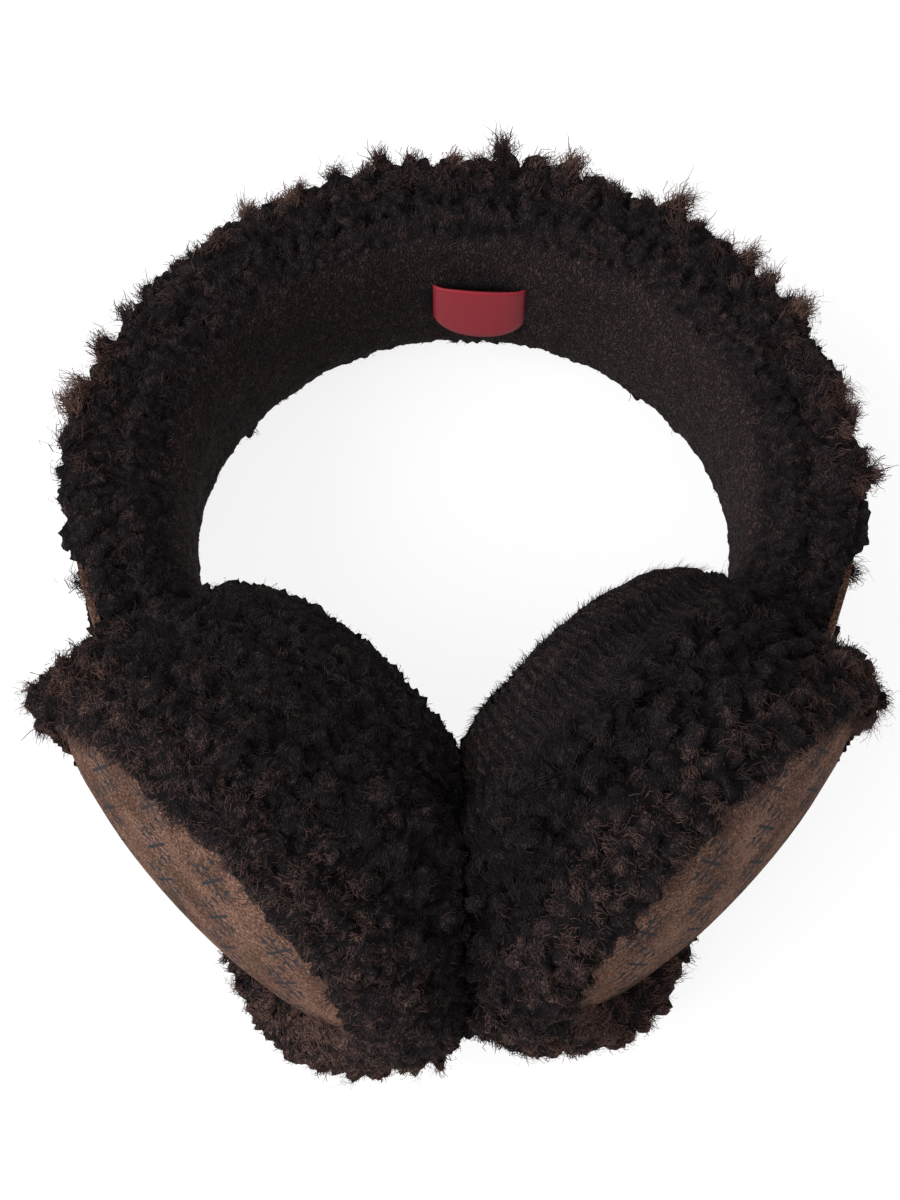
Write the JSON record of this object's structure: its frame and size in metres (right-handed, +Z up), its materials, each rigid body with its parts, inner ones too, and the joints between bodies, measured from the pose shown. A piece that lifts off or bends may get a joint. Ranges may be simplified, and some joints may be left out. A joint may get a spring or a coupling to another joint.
{
  "type": "fur earmuffs",
  "caption": "Shearling earmuffs: a wool-lined suede headband that arches over the head and ends in round, deeply padded ear cups with suede outer panels.",
  "frame": {"origin": "on the floor, at the centre of the bounding box of the earmuffs as they lie on their back edge", "axes": "+X to the right-hand cup as the picture shows it, +Y from the cups towards the crown of the headband, +Z up from the floor"},
  "size_m": [0.1956, 0.2376, 0.1104],
  "materials": {
    "wool": "deep curly shearling wool, matte",
    "suede": "brushed suede, matte",
    "label": "woven satin, slightly glossy"
  },
  "bodies": {
    "root": {"headband_suede": "suede", "headband_wool": "wool", "woven_label": "label", "left_cup_suede": "suede", "left_rim_wool": "wool", "left_ear_wool": "wool", "right_cup_suede": "suede", "right_rim_wool": "wool", "right_ear_wool": "wool"}
  },
  "joints": []
}
